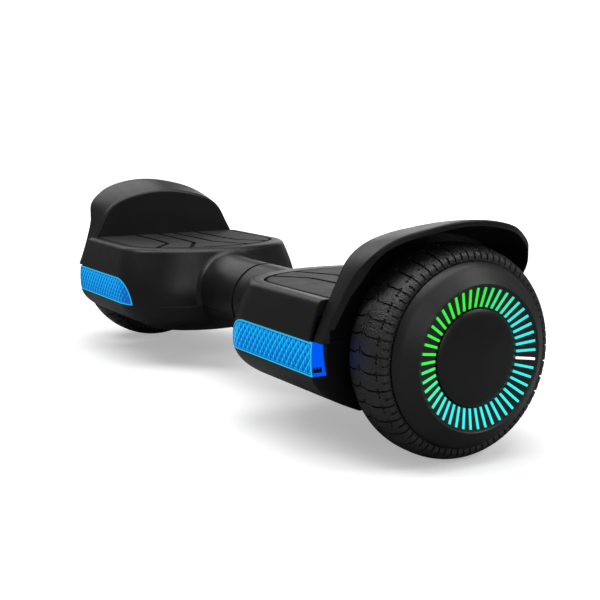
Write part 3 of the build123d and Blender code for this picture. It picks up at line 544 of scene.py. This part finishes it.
def lens(side, outward):
    """Lens skin laid on the CAD lens, with pyramid facets, a smooth rim and a plain end."""
    source = NODES["front_lens_left"]
    low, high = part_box("front_lens_left")
    tree = BVHTree.FromPolygons([v.co for v in source.data.vertices],
                                [tuple(p.vertices) for p in source.data.polygons])
    radius = high.z - low.z
    corner = low.x + radius
    bevel = 0.7 * MM
    front_end = high.x - bevel
    step_x, step_z = DIAMOND[0] * MM / CELLS, DIAMOND[1] * MM / CELLS
    rows = max(2, round(radius / step_z))
    columns = round((front_end - low.x) / step_x)

    def surface(x, z):
        """Y of the CAD lens at a place, sampled a little inside the outline."""
        inner_x = min(x, corner) + (corner - min(x, corner)) * 0.02 + max(x - corner, 0.0)
        inner_z = low.z + 0.1 * MM + (z - low.z) * 0.98
        return tree.ray_cast(Vector((inner_x, low.y - 0.1, inner_z)), Vector((0, 1, 0)))[0].y

    def left_edge(z):
        return corner - math.sqrt(max(0.0, radius ** 2 - (z - low.z) ** 2))

    def point(x, z):
        edge = min(z - low.z, high.z - z, high.x - x)
        if x < corner:
            edge = min(edge, radius - math.hypot(x - corner, z - low.z))
        depth, zone = lens_relief(edge / MM, (high.x - x) / MM, (z - low.z) / MM)
        return Vector((x, surface(x, z) + depth * MM, z)), zone

    mesh = bmesh.new()
    zone_layer = mesh.verts.layers.float.new("zone")

    def vertex(place, zone):
        made = mesh.verts.new((outward * place.x, place.y, place.z))
        made[zone_layer] = zone
        return made

    grid = []
    shear_end = corner + 5 * MM
    for row in range(rows + 1):
        z = low.z + radius * row / rows
        shrink = (shear_end - left_edge(z)) / (shear_end - low.x)
        line = []
        for column in range(columns, -1, -1):
            x = front_end + (low.x - front_end) * column / columns
            line.append((x if x > shear_end else shear_end - (shear_end - x) * shrink, z))
        grid.append(line)
    points = [[vertex(*point(x, z)) for x, z in line] for line in grid]
    for row in range(rows):
        for column in range(columns):
            z0, z1 = grid[row][column][1], grid[row + 1][column][1]
            corners = (points[row][column], points[row][column + 1],
                       points[row + 1][column + 1], points[row + 1][column])
            middle_x = sum(grid[r][c][0] for r, c in ((row, column), (row, column + 1), (row + 1, column + 1),
                                                      (row + 1, column))) / 4
            middle = vertex(*point(middle_x, (z0 + z1) / 2))
            for one, two in zip(corners, corners[1:] + corners[:1]):
                mesh.faces.new((one, two, middle))
    last = [line[-1] for line in points]
    front_y = [v.co.y for v in last]
    taper = [1.0 - LENS_END_TAPER * row / rows for row in range(rows + 1)]
    for stop, depth in LENS_END:
        fresh = [vertex(Vector((high.x - depth * MM, min(front_y[row] + stop * taper[row] * MM, high.y), grid[row][0][1])),
                        2.0 if stop > 1 else 0.0) for row in range(rows + 1)]
        for row in range(rows):
            mesh.faces.new((last[row], fresh[row], fresh[row + 1], last[row + 1]))
        last = fresh
    bmesh.ops.recalc_face_normals(mesh, faces=mesh.faces)
    outside = next(f for f in mesh.faces if abs(f.normal.y) > 0.9)
    if outside.normal.y > 0:
        bmesh.ops.reverse_faces(mesh, faces=mesh.faces)
    piece = new_piece(f"lens_{side}", mesh, "blue_lens", f"{side}_half", f"front_lens_{side}")
    thicken = piece.modifiers.new("thickness", "SOLIDIFY")
    thicken.thickness = LENS_THICK * MM
    thicken.offset = -1.0
    return piece


def lens_latch(side, outward):
    """Small black catch at the foot of the lens end, with three teeth."""
    low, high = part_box("front_lens_left")
    size = Vector((1.0, 7.6, 2.6)) * MM
    centre = Vector((high.x + 0.1 * MM, low.y + 5.4 * MM, low.z + 4.2 * MM))
    mesh = bmesh.new()
    teeth = [(0.0, 1.0, 0.0)] + [((index - 1) * 0.34, 0.18, 1.0) for index in range(3)]
    for shift, width, upper in teeth:
        block = bmesh.ops.create_cube(mesh, size=1.0)["verts"]
        for corner in block:
            corner.co = Vector((
                outward * (centre.x + (corner.co.x * (1.0 - 0.3 * upper)) * size.x),
                centre.y + (shift + corner.co.y * width) * size.y,
                centre.z + (corner.co.z * (1.0 - 0.4 * upper) + 0.8 * upper) * size.z))
    bmesh.ops.recalc_face_normals(mesh, faces=mesh.faces)
    bmesh.ops.bevel(mesh, geom=mesh.edges[:], offset=0.15 * MM, segments=2, affect="EDGES")
    piece = new_piece(f"lens_latch_{side}", mesh, "port_plastic", f"{side}_half")
    return piece


# ---- studio ----------------------------------------------------------------------------------

FLOOR_BOUNCE = 0.22        # how much light the floor gives back to the object


def studio_floor():
    """Pale floor: white for the camera through a painted glow that is dimmer near the object, with a soft shadow, and a
    modest bounce on the object.
    """
    mesh = bpy.data.meshes.new("floor")
    reach = 30.0
    mesh.from_pydata([(-reach, -reach, 0), (reach, -reach, 0), (reach, reach, 0), (-reach, reach, 0)], [], [(0, 1, 2, 3)])
    floor = bpy.data.objects.new("floor", mesh)
    bpy.context.scene.collection.objects.link(floor)
    shader = Shader("floor")
    seen = shader.node("ShaderNodeLightPath").outputs["Is Camera Ray"]
    tone = shader.node("ShaderNodeMix", data_type="RGBA")
    shader.link(seen, tone.inputs["Factor"])
    tone.inputs["A"].default_value = (*[FLOOR_BOUNCE] * 3, 1.0)
    shader.link(shader.ramp(shader.noise(3.0), (0.3, (0.88, 0.88, 0.88)), (0.7, (0.90, 0.90, 0.90))), tone.inputs["B"])
    shader.link(tone.outputs["Result"], shader.surface.inputs["Base Color"])
    # Painted light for the camera only: the floor glows at 0.38 within 0.6 m of the middle, rising to 1.1 by 2.2 m.
    distance = shader.node("ShaderNodeVectorMath", operation="LENGTH")
    shader.link(shader.place, distance.inputs[0])
    glow = shader.node("ShaderNodeMapRange", interpolation_type="SMOOTHSTEP")
    glow.inputs["From Min"].default_value = 0.6
    glow.inputs["From Max"].default_value = 2.2
    glow.inputs["To Min"].default_value = 0.38
    glow.inputs["To Max"].default_value = 1.1
    shader.link(distance.outputs["Value"], glow.inputs["Value"])
    shader.link(shader.maths("MULTIPLY", glow.outputs["Result"], seen), shader.surface.inputs["Emission Strength"])
    shader.fix(Roughness=0.9, Specular_IOR_Level=0.0, Emission_Color=(1, 1, 1, 1))
    mesh.materials.append(shader.material)


def soft_box(name, place, target, size, power):
    """Square area light aimed at a point."""
    lamp = bpy.data.lights.new(name, "AREA")
    lamp.shape = "SQUARE"
    lamp.size = size
    lamp.energy = power
    holder = bpy.data.objects.new(name, lamp)
    holder.location = place
    holder.rotation_euler = (Vector(target) - Vector(place)).to_track_quat("-Z", "Y").to_euler()
    bpy.context.scene.collection.objects.link(holder)


def studio_light():
    world = bpy.data.worlds.new("studio")
    world.use_nodes = True
    bpy.context.scene.world = world
    tree = world.node_tree
    backdrop = tree.nodes["Background"]
    backdrop.inputs["Color"].default_value = (1, 1, 1, 1)
    path = tree.nodes.new("ShaderNodeLightPath")
    level = tree.nodes.new("ShaderNodeMapRange")
    level.inputs["To Min"].default_value = 0.14
    level.inputs["To Max"].default_value = 1.05
    tree.links.new(path.outputs["Is Camera Ray"], level.inputs["Value"])
    tree.links.new(level.outputs["Result"], backdrop.inputs["Strength"])
    soft_box("back_box", (-1.7, 0.1, 1.3), (0.0, 0.0, 0.1), 1.3, 4.5)
    soft_box("top_box", (0.2, 0.1, 2.0), (0.0, 0.0, 0.0), 2.0, 34.0)
    soft_box("wheel_box", (1.5, 1.3, 1.5), (0.28, 0.0, 0.08), 0.8, 9.5)
    soft_box("front_box", (-0.6, -1.2, 1.9), (0.28, 0.0, 0.1), 0.9, 12.0)
    soft_box("deck_box", (-1.3, 1.15, 0.6), (0.2, 0.0, 0.12), 0.8, 2.0)
    soft_box("side_box", (2.0, -0.6, 0.8), (0.28, 0.0, 0.09), 0.9, 4.0)


CAMERA_AZIMUTH = math.radians(59.758)
CAMERA_HEIGHT = math.radians(9.329)
CAMERA_PLACE = (0.924287, -0.503907, 0.25076)
CAMERA_LENS = 67.605


def camera():
    """Camera at the viewing angle of a three-quarter front view."""
    back = Vector((math.sin(CAMERA_AZIMUTH) * math.cos(CAMERA_HEIGHT),
                   -math.cos(CAMERA_AZIMUTH) * math.cos(CAMERA_HEIGHT), math.sin(CAMERA_HEIGHT)))
    right = Vector((0, 0, 1)).cross(back).normalized()
    up = back.cross(right)
    data = bpy.data.cameras.new("camera")
    data.lens = CAMERA_LENS
    holder = bpy.data.objects.new("camera", data)
    holder.matrix_world = Matrix.Translation(CAMERA_PLACE) @ Matrix((right, up, back)).transposed().to_4x4()
    bpy.context.scene.collection.objects.link(holder)
    bpy.context.scene.camera = holder


# ---- the whole scene ---------------------------------------------------------------------------

camera()
studio_floor()
studio_light()
bpy.context.scene.view_settings.view_transform = "Standard"
dress_cad_nodes()
for side, outward in (("left", 1.0), ("right", -1.0)):
    tyre(side, outward)
    dished("wheel_cover", "trim", side, outward)
    dished("light_ring", "diffuser", side, outward)
    dished("hub_cap", "cap_plastic", side, outward)
    lens(side, outward)
    lens_latch(side, outward)
bpy.context.view_layer.update()
